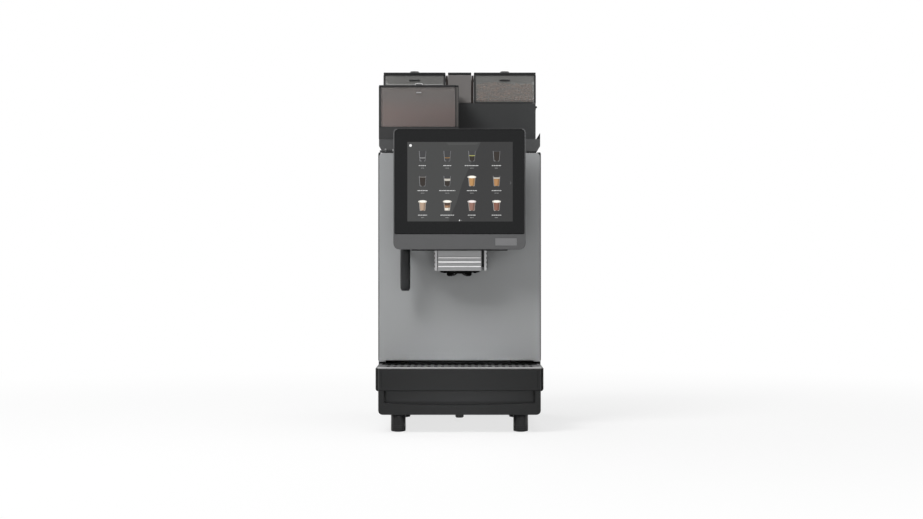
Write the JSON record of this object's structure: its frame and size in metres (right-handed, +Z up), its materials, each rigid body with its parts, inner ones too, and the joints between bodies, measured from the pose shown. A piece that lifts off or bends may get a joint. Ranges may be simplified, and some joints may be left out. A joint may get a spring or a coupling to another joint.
{
  "type": "hot coffee vending machine",
  "caption": "Counter-top bean-to-cup coffee vending machine with a touch screen, a height-adjustable outlet, a hot water wand, hoppers and a pull-out drip tray.",
  "frame": {"origin": "centre of the overall box, at the ground under the feet", "axes": "+X to the right as a customer sees it, +Y to the back, +Z up"},
  "size_m": [0.33, 0.54, 0.7356],
  "materials": {
    "panel_silver": "satin",
    "body_black": "satin",
    "deck_grey": "satin",
    "screen_frame": "satin",
    "screen_glass": "gloss",
    "display": "satin",
    "spout_silver": "satin",
    "hopper_smoke": "gloss",
    "lid_grey": "satin",
    "side_steel": "satin",
    "stainless": "brushed",
    "chrome": "polished",
    "foot_black": "satin",
    "wand_black": "satin",
    "zinc_sheet": "satin",
    "cast_metal": "cast",
    "pump_brass": "plain",
    "circuit_green": "satin",
    "inner_black": "matte",
    "food_white": "satin",
    "float_red": "satin",
    "motor_steel": "brushed"
  },
  "bodies": {
    "machine": {"base_pan": "body_black", "foot_front_left": "foot_black", "foot_front_right": "foot_black", "foot_rear_left": "foot_black", "foot_rear_right": "foot_black", "side_panel_left": "side_steel", "side_panel_right": "side_steel", "rear_panel": "side_steel", "top_deck": "deck_grey", "hopper_pedestal": "body_black", "inner_bulkhead": "zinc_sheet", "boiler": "motor_steel", "pump": "pump_brass", "brew_frame": "inner_black", "brew_motor": "motor_steel", "grinder_left": "cast_metal", "grinder_right": "cast_metal", "mixer_bowl": "food_white", "mixer_motor": "motor_steel", "fan_frame": "inner_black", "main_board": "circuit_green", "power_supply": "zinc_sheet", "power_inlet": "inner_black", "grounds_bin": "inner_black", "bean_chute": "lid_grey", "hinge_pin_upper": "chrome", "hinge_pin_lower": "chrome"},
    "burr_left": {"grinder_burr_left": "stainless"},
    "burr_right": {"grinder_burr_right": "stainless"},
    "whipper_wheel": {"whipper": "food_white"},
    "fan_wheel": {"fan_rotor": "inner_black"},
    "piston": {"brew_piston": "food_white"},
    "rocker": {"power_switch": "inner_black"},
    "door": {"front_panel": "panel_silver", "door_liner": "body_black", "screen_housing": "screen_frame", "screen_glass": "screen_glass", "display_panel": "display", "screen_mount": "body_black", "wand_elbow": "body_black"},
    "spout": {"spout_body": "body_black", "spout_cover": "spout_silver", "spout_nozzles": "body_black"},
    "wand": {"wand_tube": "wand_black"},
    "tray": {"drip_tray": "body_black"},
    "grid": {"drip_grid": "stainless"},
    "float": {"tray_float": "float_red"},
    "left_hopper": {"bean_hopper_left": "hopper_smoke"},
    "right_hopper": {"bean_hopper_right": "hopper_smoke"},
    "left_lid": {"bean_lid_left": "lid_grey"},
    "right_lid": {"bean_lid_right": "lid_grey"},
    "left_lock": {"lock_left": "chrome"},
    "right_lock": {"lock_right": "chrome"},
    "left_gate": {"bean_gate_left": "inner_black"},
    "right_gate": {"bean_gate_right": "inner_black"},
    "powder_box": {"powder_hopper": "hopper_smoke"},
    "powder_cover": {"powder_lid": "lid_grey"},
    "powder_lock": {"lock_powder": "chrome"},
    "auger": {"powder_auger": "food_white"},
    "middle_lid": {"chute_lid": "lid_grey"}
  },
  "joints": [
    {"name": "door_swing", "type": "hinge", "parent": "machine", "child": "door", "pos_m": [-0.158, -0.108, 0.134], "axis": [0, 0, -1], "range_deg": [0, 100]},
    {"name": "spout_height", "type": "slide", "parent": "door", "child": "spout", "axis": [0, 0, -1], "range_m": [0, 0.08]},
    {"name": "wand_swing", "type": "hinge", "parent": "door", "child": "wand", "pos_m": [-0.1088, -0.165, 0.372], "axis": [0, 1, 0], "range_deg": [0, 40]},
    {"name": "tray_pull", "type": "slide", "parent": "machine", "child": "tray", "axis": [0, -1, 0], "range_m": [0, 0.2]},
    {"name": "grid_lift", "type": "slide", "parent": "tray", "child": "grid", "axis": [0, 0, 1], "range_m": [0, 0.06]},
    {"name": "float_rise", "type": "slide", "parent": "tray", "child": "float", "axis": [0, 0, 1], "range_m": [0, 0.01]},
    {"name": "left_hopper_lift", "type": "slide", "parent": "machine", "child": "left_hopper", "axis": [0, 0, 1], "range_m": [0, 0.1]},
    {"name": "right_hopper_lift", "type": "slide", "parent": "machine", "child": "right_hopper", "axis": [0, 0, 1], "range_m": [0, 0.1]},
    {"name": "left_lid_swing", "type": "hinge", "parent": "left_hopper", "child": "left_lid", "pos_m": [-0.095, 0.225, 0.7273], "axis": [-1, 0, 0], "range_deg": [0, 100]},
    {"name": "right_lid_swing", "type": "hinge", "parent": "right_hopper", "child": "right_lid", "pos_m": [0.095, 0.225, 0.7273], "axis": [-1, 0, 0], "range_deg": [0, 100]},
    {"name": "middle_lid_swing", "type": "hinge", "parent": "machine", "child": "middle_lid", "pos_m": [0, 0.225, 0.7273], "axis": [-1, 0, 0], "range_deg": [0, 100]},
    {"name": "left_lock_turn", "type": "hinge", "parent": "left_lid", "child": "left_lock", "pos_m": [-0.095, 0.05, 0.7328], "axis": [0, 0, 1], "range_deg": [0, 90]},
    {"name": "right_lock_turn", "type": "hinge", "parent": "right_lid", "child": "right_lock", "pos_m": [0.095, 0.05, 0.7328], "axis": [0, 0, 1], "range_deg": [0, 90]},
    {"name": "left_gate_pull", "type": "slide", "parent": "machine", "child": "left_gate", "axis": [-1, 0, 0], "range_m": [0, 0.042]},
    {"name": "right_gate_pull", "type": "slide", "parent": "machine", "child": "right_gate", "axis": [1, 0, 0], "range_m": [0, 0.042]},
    {"name": "powder_box_lift", "type": "slide", "parent": "machine", "child": "powder_box", "axis": [0, 0, 1], "range_m": [0, 0.12]},
    {"name": "powder_cover_swing", "type": "hinge", "parent": "powder_box", "child": "powder_cover", "pos_m": [-0.085, 0.024, 0.6903], "axis": [-1, 0, 0], "range_deg": [0, 90]},
    {"name": "powder_lock_turn", "type": "hinge", "parent": "powder_cover", "child": "powder_lock", "pos_m": [-0.08275, -0.106, 0.693], "axis": [0, 0, 1], "range_deg": [0, 90]},
    {"name": "auger_spin", "type": "hinge", "parent": "powder_box", "child": "auger", "pos_m": [-0.085, -0.056, 0.6063], "axis": [0, 1, 0], "continuous": true},
    {"name": "whipper_spin", "type": "hinge", "parent": "machine", "child": "whipper_wheel", "pos_m": [-0.085, -0.039, 0.4323], "axis": [0, 1, 0], "continuous": true},
    {"name": "left_burr_spin", "type": "hinge", "parent": "machine", "child": "burr_left", "pos_m": [-0.095, 0.1315, 0.508], "axis": [0, 0, 1], "continuous": true},
    {"name": "right_burr_spin", "type": "hinge", "parent": "machine", "child": "burr_right", "pos_m": [0.095, 0.1315, 0.508], "axis": [0, 0, 1], "continuous": true},
    {"name": "fan_spin", "type": "hinge", "parent": "machine", "child": "fan_wheel", "pos_m": [0.095, 0.2524, 0.4348], "axis": [0, 1, 0], "continuous": true},
    {"name": "piston_rise", "type": "slide", "parent": "machine", "child": "piston", "axis": [0, 0, 1], "range_m": [0, 0.04]},
    {"name": "rocker_tip", "type": "hinge", "parent": "machine", "child": "rocker", "pos_m": [-0.096, 0.2655, 0.1248], "axis": [-1, 0, 0], "range_deg": [0, 16]}
  ]
}
